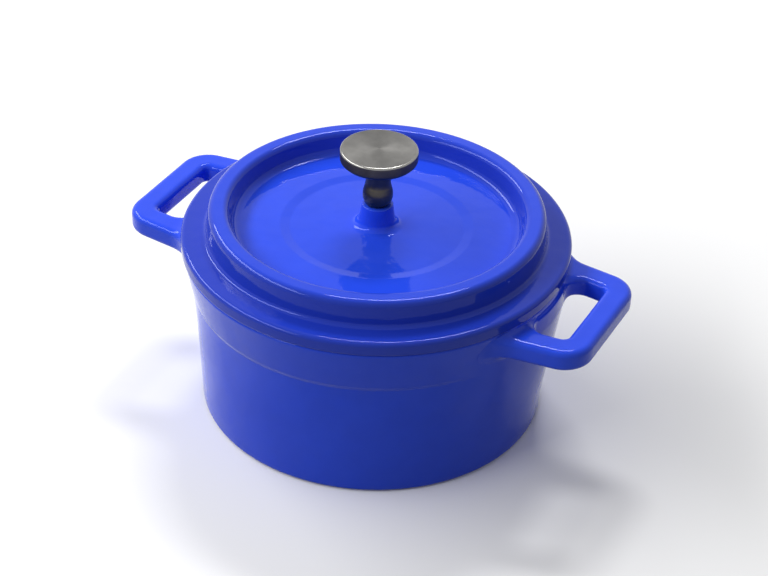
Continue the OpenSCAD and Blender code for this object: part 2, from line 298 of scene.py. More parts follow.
def rows(low_r, low_z, out, up, count, clear=(1, 1)):
    """Corners up a wall that climbs by up and leans out by out in count steps. The first and the
    last of them stay clear of its two ends by so many steps, where its own corners are rounded."""
    steps = range(clear[0], count - clear[1] + 1)
    return [(low_r + out * k / count, low_z + up * k / count, 0) for k in steps]


def finished(piece, body, slot, *nodes):
    """Leaves edit mode, smooths the shading by face area and hangs the piece on its body."""
    if piece.mode == "EDIT":
        bpy.ops.object.mode_set(mode="OBJECT")
    bpy.ops.object.transform_apply(location=True, rotation=True, scale=True)
    bpy.ops.object.shade_smooth_by_angle(angle=SHARP)
    bpy.ops.object.modifier_add(type="WEIGHTED_NORMAL")
    piece.modifiers[-1].keep_sharp = True
    bpy.ops.object.modifier_apply(modifier=piece.modifiers[-1].name)
    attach(piece, body)
    if nodes:
        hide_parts(*nodes)


def coat(piece, made):
    """Gives a piece the material that covers it all."""
    piece.data.materials.append(made)


def paint(piece, made, wanted):
    """Gives a material to the faces whose middles and normals are wanted, in edit mode."""
    piece.data.materials.append(made)
    choose(piece, "FACE", lambda face: wanted(face.calc_center_median(), face.normal))
    piece.active_material_index = len(piece.data.materials) - 1
    bpy.ops.object.material_slot_assign()


# --- Materials --------------------------------------------------------------------------------

RING_PITCH = 0.22 * MM  # From one ring that the turning tool leaves to the next


def linear(code):
    """An sRGB hex code as linear RGBA."""
    parts = [int(code[i:i + 2], 16) / 255 for i in (1, 3, 5)]
    return [c / 12.92 if c <= 0.04045 else ((c + 0.055) / 1.055) ** 2.4 for c in parts] + [1]


def toned(colour, share):
    """A linear colour made darker or lighter, to a share of its light."""
    return [c * share for c in colour[:3]] + [1]


def add(tree, kind, inputs=None, stops=(), **settings):
    """Adds a shader node with its settings. Each input gets its value, or a link from another
    node's output, and a ramp gets its stops, each a position and a linear colour."""
    node = tree.nodes.new("ShaderNode" + kind)
    for key, value in settings.items():
        setattr(node, key, value)
    for socket, value in (inputs or {}).items():
        if isinstance(value, bpy.types.NodeSocket):
            tree.links.new(value, node.inputs[socket])
        else:
            node.inputs[socket].default_value = value
    if stops:
        band = node.color_ramp.elements
        while len(band) < len(stops):
            band.new(0.5)
        for element, stop in zip(band, stops):
            element.position, element.color = stop
    return node


def material(name):
    """A new material and its empty node tree."""
    made = bpy.data.materials.new(name)
    made.use_nodes = True
    made.node_tree.nodes.clear()
    return made, made.node_tree


def shade(tree, inputs):
    """Ends a material in its shader."""
    shader = add(tree, "BsdfPrincipled", inputs)
    add(tree, "OutputMaterial", {"Surface": shader.outputs["BSDF"]})


def clouds(tree, place, size, tones, gloss=None, detail=3, grain=0.5):
    """Soft clouds about size metres across. They run the colour through tones, and the roughness
    through gloss, its least and most. Gives the clouds, and what the shader takes from them."""
    lumps = add(tree, "TexNoise", {
        "Vector": place, "Scale": 1 / size, "Detail": detail, "Roughness": grain,
    }).outputs["Fac"]
    looks = {"Base Color": add(tree, "ValToRGB", {"Fac": lumps}, tones).outputs["Color"]}
    if gloss:
        rough = add(tree, "MapRange", {"Value": lumps, "To Min": gloss[0], "To Max": gloss[1]})
        looks["Roughness"] = rough.outputs["Result"]
    return lumps, looks


def radius_of(tree, place):
    """Distance from the axis of turning."""
    flat = add(tree, "VectorMath", {0: place, 1: (1, 1, 0)}, operation="MULTIPLY")
    reach = add(tree, "VectorMath", {0: flat.outputs["Vector"]}, operation="LENGTH")
    return reach.outputs["Value"]


def glaze_waves(tree, place):
    """A fired glaze runs before it sets, so it has long low waves and a fine orange peel. Gives
    the normal over both."""
    skin = {}
    for size, depth in ((5.5 * MM, 0.1 * MM), (1.3 * MM, 0.012 * MM)):
        lumps = add(tree, "TexNoise", {"Vector": place, "Scale": 1 / size, "Detail": 1})
        bump = add(tree, "Bump", {"Height": lumps.outputs["Fac"], "Distance": depth, **skin})
        skin = {"Normal": bump.outputs["Normal"]}
    return skin["Normal"]


def blue_enamel(colours, name="vitreous_enamel_cobalt", shade_bands=None):
    """Vitreous enamel, sprayed and fired on cast iron: deep colour under a clear glassy skin, which
    tints what it mirrors. Where a list of distances from the axis with shares from 0 to 1 is given,
    shade is painted into the colour: there the blue is painted darker."""
    made, tree = material(name)
    place = add(tree, "TexCoord").outputs["Object"]
    full, deep = linear(colours.enamel), linear(colours.enamel_mottle_and_shade)
    dusky = [0.85 * a + 0.15 * b for a, b in zip(full, deep)]
    _, looks = clouds(tree, place, 9 * MM, [(0.3, dusky), (0.7, full)])
    # Painted shade: a ramp over the distance from the axis mixes in the darker blue round the lid's
    # ring
    if shade_bands:
        widest = shade_bands[-1][0]
        share = add(tree, "Math", {0: radius_of(tree, place), 1: widest}, operation="DIVIDE")
        shade_stops = [(radius / widest, [shade_share] * 3 + [1]) for radius, shade_share in shade_bands]
        shaded = add(tree, "ValToRGB", {"Fac": share.outputs["Value"]}, shade_stops)
        shaded_mix = {"Factor": shaded.outputs["Color"], "A": looks["Base Color"], "B": deep}
        looks["Base Color"] = add(tree, "Mix", shaded_mix, data_type="RGBA").outputs["Result"]
    shade(tree, {
        **looks,
        "Roughness": 0.05,
        "IOR": 1.35,
        "Specular Tint": linear(colours.sheen),
        "Normal": glaze_waves(tree, place),
    })
    return made


def lining_enamel(colours):
    """Off-white vitreous enamel inside: the same glassy skin over a pale body."""
    made, tree = material("vitreous_enamel_cream")
    place = add(tree, "TexCoord").outputs["Object"]
    pale = linear(colours.lining)
    _, looks = clouds(tree, place, 7 * MM, [(0.25, toned(pale, 0.93)), (0.75, pale)])
    shade(tree, {**looks, "Roughness": 0.14, "IOR": 1.5, "Normal": glaze_waves(tree, place)})
    return made


def ground_coat(colours):
    """Dark ground coat on the seats, fired matt and a little gritty, with no colour over it."""
    made, tree = material("enamel_ground_coat")
    place = add(tree, "TexCoord").outputs["Object"]
    dark = linear(colours.ground)
    tones = [(0.3, dark), (0.8, toned(dark, 1.9))]
    grit, looks = clouds(tree, place, 0.5 * MM, tones, gloss=(0.45, 0.68), detail=4, grain=0.7)
    rough = add(tree, "Bump", {"Height": grit, "Distance": 0.03 * MM})
    shade(tree, {**looks, "IOR": 1.5, "Normal": rough.outputs["Normal"]})
    return made


def turned_steel(name, code):
    """Stainless steel, turned and left satin: fine rings round the axis spread the gloss."""
    made, tree = material(name)
    place = add(tree, "TexCoord").outputs["Object"]
    base = linear(code)
    tones = [(0.3, toned(base, 0.8)), (0.7, base)]
    _, looks = clouds(tree, place, 4 * MM, tones, gloss=(0.26, 0.4), grain=0.6)
    phase = add(tree, "Math", {
        0: radius_of(tree, place), 1: math.tau / RING_PITCH,
    }, operation="MULTIPLY").outputs["Value"]
    wave = add(tree, "Math", {0: phase}, operation="SINE").outputs["Value"]
    crests = add(tree, "MapRange", {"Value": wave}).outputs["Result"]
    rings = add(tree, "Bump", {"Height": crests, "Distance": 0.004 * MM})
    tangent = add(tree, "Tangent", direction_type="RADIAL", axis="Z")
    shade(tree, {
        **looks,
        "Metallic": 1,
        "Anisotropic": 0.5,
        "Tangent": tangent.outputs["Tangent"],
        "Normal": rings.outputs["Normal"],
    })
    return made


def polished_highlight_steel(colours):
    """The knob's edge: stainless steel polished smoother than the top, and given a brighter colour as
    a painted highlight, with only faint clouds left in its gloss.
    """
    made, tree = material("stainless_steel_polished_highlight")
    place = add(tree, "TexCoord").outputs["Object"]
    base = linear(colours.steel_edge_highlight)
    tones = [(0.3, toned(base, 0.9)), (0.7, base)]
    _, looks = clouds(tree, place, 3 * MM, tones, gloss=(0.1, 0.2), detail=2)
    shade(tree, {**looks, "Metallic": 1})
    return made


def zinc_plate(colours):
    """Small steel fixings, bright zinc plated: even, slightly milky metal."""
    made, tree = material("steel_zinc_plated")
    place = add(tree, "TexCoord").outputs["Object"]
    base = linear(colours.zinc)
    tones = [(0.3, toned(base, 0.86)), (0.7, base)]
    _, looks = clouds(tree, place, 0.8 * MM, tones, gloss=(0.22, 0.36))
    shade(tree, {**looks, "Metallic": 1})
    return made


def shared(name, maker):
    """A finish that several pieces have, made once."""
    if name not in bpy.data.materials:
        maker(bpy.context.scene.cocotte_colours)
    return bpy.data.materials[name]


def blue():
    """The blue enamel of the pot and its handles."""
    return shared("vitreous_enamel_cobalt", blue_enamel)


def cream():
    """The lining of the pot and the lid."""
    return shared("vitreous_enamel_cream", lining_enamel)


def ground():
    """The ground coat on the seats of the pot and the lid."""
    return shared("enamel_ground_coat", ground_coat)


def plating():
    """The plating of the screw and its washers."""
    return shared("steel_zinc_plated", zinc_plate)


def lid_blue(dish_r, crest_in, crest_out, lid_r):
    """The blue on the lid, with shade painted into it: darker in the dish beside the ring, on the
    ring's outer wall, the brim and the lip, and less dark on the ring's crest. Each pair is a
    distance from the axis and how much painted shade lies there, from 0 to 1."""
    return blue_enamel(bpy.context.scene.cocotte_colours, "vitreous_enamel_cobalt_painted_shade", [
        (0, 0),
        (dish_r - 3 * MM, 0),
        (dish_r + 0.5 * MM, 0.9),
        (crest_in + 0.3 * MM, 0.9),
        (crest_in + 1.8 * MM, 0.3),
        (crest_out - 1.8 * MM, 0.3),
        (crest_out - 0.3 * MM, 1),
        (lid_r, 1),
    ])


# --- Pot --------------------------------------------------------------------------------------

# Radii of its edges and corners
FOOT_HOLLOW_R = 1 * MM
FOOT_EDGE_R = 1.4 * MM
LEDGE_R = 0.9 * MM
RIM_EDGE_R = 0.8 * MM
MOUTH_CORNER_R = 3 * MM
COLLAR_CORNER_R = 6 * MM
FLOOR_CORNER_R = 8 * MM

WALL_STEPS = 12  # Rows of faces up its wall
COLLAR_STEPS = 24  # Rows of faces up its collar
SEAT_MARGIN = 0.7 * MM  # From a casting's edge in to the ground coat on its seat
SEAT_DEPTH = 0.2 * MM  # How far under the rim its ground coat may reach
LOOKS_UP = 0.5  # A face looks up where its normal's height is more than this
SOFT = 0.8 * MM  # Surfaces of the casting that lie closer than this run into each other
CHEEK_LOW = 1.5 * MM  # Height of the wall's foot, which the swelling behind a handle leaves alone
CHEEK_DROP = 0.3 * MM  # From a handle's top face down to the top of that swelling
CHEEK_EDGE_R = 1.2 * MM  # Radius of its top edge


def collar_radius(s, z):
    """Radius of the pot's collar at height z."""
    ledge_r = POT_HIGH.y - s.collar_flare
    ledge_z = POT_HIGH.z - s.collar_h + s.ledge_rise
    return ledge_r + s.collar_flare * (z - ledge_z) / (POT_HIGH.z - ledge_z)


def cheek_radius(s, z):
    """Radius at height z of the swelling behind a handle, about the swelling's own axis."""
    top = POT_HIGH.z - s.handle_drop
    bottom = top - s.handle_t
    wall_r = POT_HIGH.y - s.collar_flare - s.ledge_w
    low = min(z, bottom)
    wall = wall_r - s.wall_draft * (1 - low / (POT_HIGH.z - s.collar_h))
    swell = s.cheek_out * (low - s.cheek_z) / (bottom - s.cheek_z)
    over = max(0, z - (top - CHEEK_DROP - CHEEK_EDGE_R)) / CHEEK_EDGE_R
    tuck = CHEEK_EDGE_R * (1 - math.sqrt(max(0, 1 - over * over)))
    return wall - s.cheek_shift + swell - tuck


def cheek_reach(s, place):
    """How far out from the pot's axis the swelling stands, towards a place and at its height."""
    if place.z > POT_HIGH.z - s.handle_drop - CHEEK_DROP:
        return 0
    radius = cheek_radius(s, place.z)
    along = abs(place.x) / place.xy.length
    inside = radius ** 2 - s.cheek_shift ** 2 * (1 - along * along)
    return s.cheek_shift * along + math.sqrt(max(inside, 0))


def blended(a, b):
    """The greater of two radii, with a soft change from one to the other."""
    near = max(SOFT - abs(a - b), 0) / SOFT
    return max(a, b) + near * near * SOFT / 4


def swell_cheeks(piece, s, core_r):
    """Swells the outside of the wall behind each handle, as the casting does to carry it."""
    top = POT_HIGH.z - s.handle_drop
    for vertex in piece.data.vertices:
        place = vertex.co
        reach = place.xy.length
        if reach > core_r + s.wall_draft * place.z / top and CHEEK_LOW < place.z < top:
            swelled = blended(reach, cheek_reach(s, place))
            place.x *= swelled / reach
            place.y *= swelled / reach


class COCOTTE_OT_pot(bpy.types.Operator):
    """Turn the pot's wall, floor, foot and rim, and swell its wall behind the handles"""

    bl_idname = "cocotte.pot"
    bl_label = "Pot"

    def execute(self, context):
        s = context.scene.cocotte_pot
        pot_h = POT_HIGH.z
        rim_r = POT_HIGH.y
        mouth_r = rim_r - s.rim_w
        ledge_r = rim_r - s.collar_flare
        wall_r = ledge_r - s.ledge_w
        base_r = wall_r - s.wall_draft
        collar_z = pot_h - s.collar_h
        floor_z = s.foot_recess + s.floor_t
        foot_in_r = base_r - FOOT_EDGE_R - s.foot_w
        ledge_z = collar_z + s.ledge_rise
        flare_h = pot_h - ledge_z
        piece = turned("enamelled_pot", [
            (0, s.foot_recess, 0),
            (foot_in_r - s.foot_recess, s.foot_recess, FOOT_HOLLOW_R),
            (foot_in_r + s.foot_recess, 0, FOOT_HOLLOW_R),
            (base_r, 0, FOOT_EDGE_R),
            *rows(base_r, 0, s.wall_draft, collar_z, WALL_STEPS),
            (wall_r, collar_z, LEDGE_R),
            (ledge_r, ledge_z, LEDGE_R),
            *rows(ledge_r, ledge_z, s.collar_flare, flare_h, COLLAR_STEPS, clear=(3, 2)),
            (rim_r, pot_h, RIM_EDGE_R),
            (mouth_r, pot_h, RIM_EDGE_R),
            (mouth_r, pot_h - s.mouth_depth, MOUTH_CORNER_R),
            (wall_r - s.wall_t, collar_z, COLLAR_CORNER_R),
            (base_r - s.wall_t, floor_z, FLOOR_CORNER_R),
            (0, floor_z, 0),
        ], closed=False)
        coat(piece, blue())
        seat_in = mouth_r + SEAT_MARGIN
        seat_out = rim_r - SEAT_MARGIN
        paint(piece, cream(), lambda at, n: (
            at.xy.length < seat_in
            and at.z > s.foot_recess + MM
            and (n.z > LOOKS_UP or n.xy.dot(at.xy) < 0)
        ))
        paint(piece, ground(), lambda at, n: (
            seat_in < at.xy.length < seat_out and at.z > pot_h - SEAT_DEPTH
        ))
        bpy.ops.object.mode_set(mode="OBJECT")
        swell_cheeks(piece, s, base_r - s.wall_t / 2)
        finished(piece, POT_BODY, "pot_enamel", "pot")
        return {"FINISHED"}


# --- Loop handles -----------------------------------------------------------------------------

ROOT_DEPTH = 1.6 * MM  # How far a handle's roots run into the wall
ROOT_BLEND = 8 * MM  # How far out the lean of the wall carries into a handle
FLAT = 0.9999  # A face lies flat where its normal's height is more than this

# Steps along each fillet, arm, corner and bar of a handle, across its faces and round its edges
FILLET_STEPS = 28
ARM_STEPS = 6
CORNER_STEPS = 18
BAR_STEPS = 12
ACROSS_STEPS = 8
EDGE_STEPS = 6


def fillet_centre(start, along, radius, side, wall_r):
    """Centre of the fillet between the pot's round wall and an arm's side, a line from start."""
    near = start + side * radius * Vector((-along.y, along.x, 0))
    reach = near.dot(along)
    left = reach ** 2 - near.length_squared + (wall_r + radius) ** 2
    return near - along * (reach + math.sqrt(left))


def turn_between(u, v):
    """Turn from direction u to v about Z, anticlockwise positive."""
    return math.atan2(u.x * v.y - u.y * v.x, u.x * v.x + u.y * v.y)


def straight(step, count):
    """Extrudes the end of a wire by a step, in equal parts."""
    for _ in range(count):
        pull(step / count)


def loop_wire(z, shift, wall_r, corner, along, fillet_r, corner_r, side):
    """Draws one side of a handle from root to root: wall, fillet, arm, corner, bar and back.
    The arm's side runs from the corner towards the pot along the direction given, and the wall is
    round about an axis that lies shift out from the pot's own. Side is -1 for the outer side of
    the handle and 1 for the side of its hole."""
    corner = corner - Vector((shift, 0, 0))
    centre = fillet_centre(corner, along, fillet_r, side, wall_r)
    across = Vector((-along.y, along.x, 0))
    on_wall = centre.normalized() * wall_r
    on_arm = centre - side * across * fillet_r
    bar = Vector((0, -1, 0))
    turn = turn_between(-along, bar)
    back = corner_r * math.tan(abs(turn) / 2)
    bend_in = corner + along * back
    bend_out = corner + bar * back
    bend = bend_in + math.copysign(corner_r, turn) * Vector((along.y, -along.x, 0))
    lift = Vector((shift, 0, z))
    root = on_wall * (1 - ROOT_DEPTH / wall_r)
    flip = Vector((1, -1, 1))
    new_vertex(root + lift)
    pull(on_wall - root)
    fillet_turn = turn_between(on_wall - centre, on_arm - centre)
    sweep(centre + lift, UP, fillet_turn, FILLET_STEPS)
    straight(bend_in - on_arm, ARM_STEPS)
    sweep(bend + lift, UP, turn, CORNER_STEPS)
    straight((bend_out * flip) - bend_out, BAR_STEPS)
    sweep(bend * flip + lift, UP, turn, CORNER_STEPS)
    straight((on_arm - bend_in) * flip, ARM_STEPS)
    sweep(centre * flip + lift, UP, fillet_turn, FILLET_STEPS)
    pull((root - on_wall) * flip)


def flat_sides(edge):
    """How many of the faces beside an edge lie flat."""
    return sum(abs(face.normal.z) > FLAT for face in edge.link_faces)


def within(edge, radius):
    """Whether an edge lies within a radius of the axis."""
    return all(vertex.co.xy.length < radius for vertex in edge.verts)


def ease(share):
    """Smooth step from 1 at share 0 to 0 at share 1."""
    left = min(max(1 - share, 0), 1)
    return left * left * (3 - 2 * left)


def quarter(gap, reach, rise):
    """Height of a quarter of an ellipse that climbs the wall, at a gap from it."""
    left = 1 - max(gap, 0) / reach
    return rise * (1 - math.sqrt(1 - left * left)) if left > 0 else 0


def fit_roots(piece, s, middle_z, wall_r):
    """Leans a handle's roots with the wall behind them and spreads them up and down, so that they
    meet it in a fillet all round."""
    half = s.handle_t / 2
    for vertex in piece.data.vertices:
        place = vertex.co
        middle = Vector((place.x, place.y, middle_z))
        level_wall = max(wall_r, cheek_reach(s, middle))
        wall = blended(collar_radius(s, place.z), cheek_reach(s, place))
        gap = place.xy.length - wall
        lean = (wall - level_wall) * ease(gap / ROOT_BLEND)
        above = (place.z - middle_z) / half
        if above > 0:
            place.z += quarter(gap, s.root_slope, s.root_rise) * above
        else:
            place.z += quarter(gap, s.web_fillet_r, s.web_fillet_r) * above
        out = place.xy.normalized() * lean
        place.x += out.x
        place.y += out.y


class COCOTTE_OT_handles(bpy.types.Operator):
    """Draw, thicken and round one loop handle, and copy it to the other side"""

    bl_idname = "cocotte.handles"
    bl_label = "Loop handles"

    def execute(self, context):
        s = context.scene.cocotte_pot
        top = POT_HIGH.z - s.handle_drop
        middle_z = top - s.handle_t / 2
        wall_r = collar_radius(s, middle_z)
        cheek_r = cheek_radius(s, middle_z)
        reach = POT_HIGH.x
        corner = Vector((reach, s.handle_half, 0))
        along = (Vector((wall_r, s.root_half, 0)) - corner).normalized()
        on_arm = corner + s.arm_w * Vector((-along.y, along.x, 0))
        hole_corner = on_arm + along * ((reach - s.bar_w - on_arm.x) / along.x)
        piece = new_piece("loop_handle_right")
        loop_wire(top, 0, wall_r, corner, along, s.root_fillet_r, s.outer_corner_r, side=-1)
        loop_wire(
            top, s.cheek_shift, cheek_r, hole_corner, along, s.hole_fillet_r, s.hole_corner_r, side=1
        )
        bpy.ops.mesh.select_all(action="SELECT")
        bpy.ops.mesh.bridge_edge_loops()
        bpy.ops.mesh.select_all(action="SELECT")
        pull(Vector((0, 0, -s.handle_t)))
        tidy()
        keep_out = wall_r - ROOT_DEPTH / 2
        choose(piece, "EDGE", lambda edge: flat_sides(edge) == 1 and not within(edge, keep_out))
        bpy.ops.mesh.bevel(offset=s.handle_edge_r, segments=EDGE_STEPS, profile=0.5, affect="EDGES")
        choose(piece, "EDGE", lambda edge: flat_sides(edge) == 2)
        bpy.ops.mesh.subdivide(number_cuts=ACROSS_STEPS)
        bpy.ops.object.mode_set(mode="OBJECT")
        fit_roots(piece, s, middle_z, wall_r)
        coat(piece, blue())
        bpy.ops.object.duplicate()
        twin = context.object
        twin.name = twin.data.name = "loop_handle_left"
        twin.rotation_euler.z = math.pi
        finished(twin, POT_BODY, "pot_enamel")
        bpy.ops.object.select_all(action="DESELECT")
        piece.select_set(True)
        context.view_layer.objects.active = piece
        finished(piece, POT_BODY, "pot_enamel")
        return {"FINISHED"}


# --- Lid --------------------------------------------------------------------------------------

# Radii of its edges and corners
BORE_EDGE_R = 0.3 * MM
UNDERSIDE_R = 2 * MM
SPIGOT_EDGE_R = 0.7 * MM
LID_EDGE_R = 0.8 * MM
LIP_EDGE_R = 1.3 * MM
RING_FOOT_R = 1.4 * MM
CREST_R = 1.9 * MM
DISH_CORNER_R = 2.4 * MM
RECESS_BEND_R = 4 * MM
BOSS_EDGE_R = 0.5 * MM


class COCOTTE_OT_lid(bpy.types.Operator):
    """Turn the lid: brim, raised ring, dish with its shallow recess, boss and locating ring"""

    bl_idname = "cocotte.lid"
    bl_label = "Lid"

    def execute(self, context):
        s = context.scene.cocotte_lid
        rim_z = POT_HIGH.z
        lid_r = LID_HIGH.x
        spigot_r = POT_HIGH.y - context.scene.cocotte_pot.rim_w - s.spigot_clearance
        spigot_in = spigot_r - s.spigot_t
        brim_z = rim_z + s.lip_h
        crest_z = rim_z + s.ring_h
        dish_z = rim_z + s.dish_h
        recess_z = dish_z - s.recess_depth
        under_z = FLAT_HIGH.z
        ring_r = lid_r - s.brim_w
        crest_in = ring_r - s.crest_w
        dish_r = crest_in - s.ring_slope
        recess_out = s.recess_r + s.recess_slope
        recess_in = s.recess_r - s.recess_slope
        foot_r = s.boss_r + s.boss_spread

        def rise(radius):
            """How far the dish floor has risen at a distance from the axis."""
            return s.dish_rise * (1 - radius / dish_r)

        piece = turned("enamelled_lid", [
            (s.bore_r, under_z, BORE_EDGE_R),
            (spigot_in, under_z, UNDERSIDE_R),
            (spigot_in, LID_LOW.z, SPIGOT_EDGE_R),
            (spigot_r, LID_LOW.z, SPIGOT_EDGE_R),
            (spigot_r, rim_z, 0),
            (lid_r, rim_z, LID_EDGE_R),
            (lid_r, brim_z, LIP_EDGE_R),
            (ring_r + s.ring_lean, brim_z + s.brim_rise, RING_FOOT_R),
            (ring_r, crest_z, CREST_R),
            (crest_in, crest_z, CREST_R),
            (dish_r, dish_z, DISH_CORNER_R),
            (recess_out, dish_z + rise(recess_out), RECESS_BEND_R),
            (recess_in, recess_z + rise(recess_in), RECESS_BEND_R),
            (foot_r, recess_z + rise(foot_r), s.boss_flare_r),
            (s.boss_r, LID_HIGH.z, BOSS_EDGE_R),
            (s.bore_r, LID_HIGH.z, BORE_EDGE_R),
        ])
        # The lid's blue carries painted shade round its ring
        coat(piece, lid_blue(dish_r, crest_in, ring_r, lid_r))
        seat_out = lid_r - SEAT_MARGIN
        paint(piece, cream(), lambda at, n: (
            at.z < under_z + MM and at.xy.length < spigot_in + NEAR
        ))
        paint(piece, ground(), lambda at, n: (
            at.z < rim_z + NEAR and spigot_in < at.xy.length < seat_out
        ))
        finished(piece, LID_BODY, "lid_enamel", "lid")
        return {"FINISHED"}


# --- Knob -------------------------------------------------------------------------------------

SHANK_GAP = 0.08 * MM  # Between the screw and its hole in the knob
HOLE_SPARE = 1 * MM  # Depth of that hole past the screw's tip

# Radii of its edges and corners
HOLE_EDGE_R = 0.2 * MM
KNOB_FOOT_R = 1.2 * MM
BULGE_BEND_R = 5 * MM
NECK_BEND_R = 6 * MM
NECK_TOP_R = 1.6 * MM
CHAMFER_R = 0.6 * MM
KNOB_EDGE_R = 0.5 * MM


class COCOTTE_OT_knob(bpy.types.Operator):
    """Turn the knob: disc, neck, bulge and the hole for its screw"""

    bl_idname = "cocotte.knob"
    bl_label = "Knob"

    def execute(self, context):
        s = context.scene.cocotte_knob
        colours = context.scene.cocotte_colours
        low, top = KNOB_LOW.z, KNOB_HIGH.z
        edge_z = top - s.edge_h
        hole_r = s.screw_r + SHANK_GAP
        hole_z = SCREW_HIGH.z + HOLE_SPARE
        disc_r = KNOB_HIGH.x
        piece = turned("turned_knob", [
            (0, hole_z, 0),
            (hole_r, hole_z, 0),
            (hole_r, low, HOLE_EDGE_R),
            (s.neck_r, low, KNOB_FOOT_R),
            (s.bulge_r + s.bulge_lead, low + s.bulge_z, BULGE_BEND_R),
            (s.neck_r, low + s.neck_z, NECK_BEND_R),
            (s.neck_r, edge_z - s.chamfer_h - s.flare_h, NECK_TOP_R),
            (disc_r - s.chamfer_w, edge_z - s.chamfer_h, CHAMFER_R),
            (disc_r, edge_z, CHAMFER_R),
            (disc_r, top, KNOB_EDGE_R),
            (0, top, 0),
        ], closed=False)
        flat_z = top - KNOB_EDGE_R
        flat_r = disc_r - KNOB_EDGE_R
        # The sides get the steel in its painted-shade colour; the top gets the brushed copy below
        coat(piece, turned_steel("stainless_steel_sides_shaded", colours.steel_sides_shade))
        brushed = turned_steel("stainless_steel_brushed", colours.steel)
        paint(piece, brushed, lambda at, n: at.z > flat_z)
        # The rounded edge gets the smoother steel, painted brighter as a painted highlight
        paint(piece, polished_highlight_steel(colours), lambda at, n: at.z > flat_z and at.xy.length > flat_r)
        finished(piece, LID_BODY, "knob_steel", "knob")
        return {"FINISHED"}


# --- Screw and washers ------------------------------------------------------------------------

HEAD_ROUND_R = 1.6 * MM  # Radius of the screw's pan head
HEAD_EDGE_R = 0.2 * MM  # Radius of that head's edge on its seat
TIP_R = 0.5 * MM  # Radius of the screw's tip
LOCK_EDGE_R = 0.15 * MM  # Radius of the lock washer's edges
FLAT_EDGE_R = 0.12 * MM  # Radius of the plain washer's edges
CROSS_TAPER = (0.6, 0.75, 1)  # Size of that box's end in the head as a share of its wide end
CROSS_ROUND = 0.35  # Rounding of its corners as a share of its width
THREAD_DEPTH = 0.45 * MM
THREAD_SLANT = math.radians(30)  # Of each side of the thread, from level
THREAD_CREST = 1 / 8  # Width of its crest as a share of its pitch
THREAD_STEPS = 32  # Steps in each turn of the thread
SPLIT_SLANT = math.radians(35)  # Of the lock washer's split, from upright
SPLIT_REACH = 4  # Height of the box that cuts it, as a multiple of the washer's


def block(name, size, place):
    """A box to cut with, selected and active."""
    bpy.ops.object.mode_set(mode="OBJECT")
    bpy.ops.object.select_all(action="DESELECT")
    bpy.ops.mesh.primitive_cube_add(size=1, location=place, scale=size)
    bpy.context.object.name = name
    return bpy.context.object


def cut(piece, cutter):
    """Cuts one piece with another, which is then deleted, and dissolves slivers along the cut."""
    bpy.ops.object.select_all(action="DESELECT")
    piece.select_set(True)
    bpy.context.view_layer.objects.active = piece
    bpy.ops.object.modifier_add(type="BOOLEAN")
    piece.modifiers[-1].object = cutter
    piece.modifiers[-1].operation = "DIFFERENCE"
    bpy.ops.object.modifier_apply(modifier=piece.modifiers[-1].name)
    bpy.data.objects.remove(cutter)
    bpy.ops.object.mode_set(mode="EDIT")
    bpy.ops.mesh.select_all(action="SELECT")
    bpy.ops.mesh.dissolve_degenerate(threshold=NEAR)
    bpy.ops.object.mode_set(mode="OBJECT")


def cross_arm(s, place, turn):
    """One arm of the cross recess, rounded at its ends and drawn in towards its bottom."""
    arm = block("cross_arm", (2 * s.cross_reach, s.cross_w, 2 * s.cross_depth), place)
    bpy.ops.object.mode_set(mode="EDIT")
    choose(arm, "VERT", lambda vertex: vertex.co.z > 0)
    bpy.ops.transform.resize(value=CROSS_TAPER)
    choose(arm, "EDGE", lambda edge: edge.verts[0].co.z * edge.verts[1].co.z < 0)
    bpy.ops.mesh.bevel(offset=CROSS_ROUND * s.cross_w, segments=4, profile=0.5, affect="EDGES")
    bpy.ops.object.mode_set(mode="OBJECT")
    arm.rotation_euler.z = turn
    return arm


def thread(s, low, high):
    """The screw's thread, one ridge wound up the core, with closed ends."""
    core_r = s.screw_r - THREAD_DEPTH
    flank = THREAD_DEPTH * math.tan(THREAD_SLANT)
    crest = s.thread_pitch * THREAD_CREST
    ridge = outline("thread", [
        (core_r - NEAR, low, 0),
        (s.screw_r, low + flank, 0),
        (s.screw_r, low + flank + crest, 0),
        (core_r - NEAR, low + 2 * flank + crest, 0),
    ])
    bpy.ops.object.mode_set(mode="OBJECT")
    bpy.ops.object.modifier_add(type="SCREW")
    wound = ridge.modifiers[-1]
    wound.steps = wound.render_steps = THREAD_STEPS
    wound.screw_offset = s.thread_pitch
    wound.iterations = int((high - low) / s.thread_pitch) - 1
    wound.use_merge_vertices = False
    bpy.ops.object.modifier_apply(modifier=wound.name)
    bpy.ops.object.mode_set(mode="EDIT")
    bpy.ops.mesh.select_all(action="SELECT")
    bpy.ops.mesh.fill_holes(sides=4)
    tidy()
    bpy.ops.object.mode_set(mode="OBJECT")
    return ridge


def washer(name, in_r, out_r, low, high, edge_r):
    """A turned ring with broken edges."""
    places = ((in_r, low), (out_r, low), (out_r, high), (in_r, high))
    return turned(name, [(*place, edge_r) for place in places], steps=SMALL_STEPS)


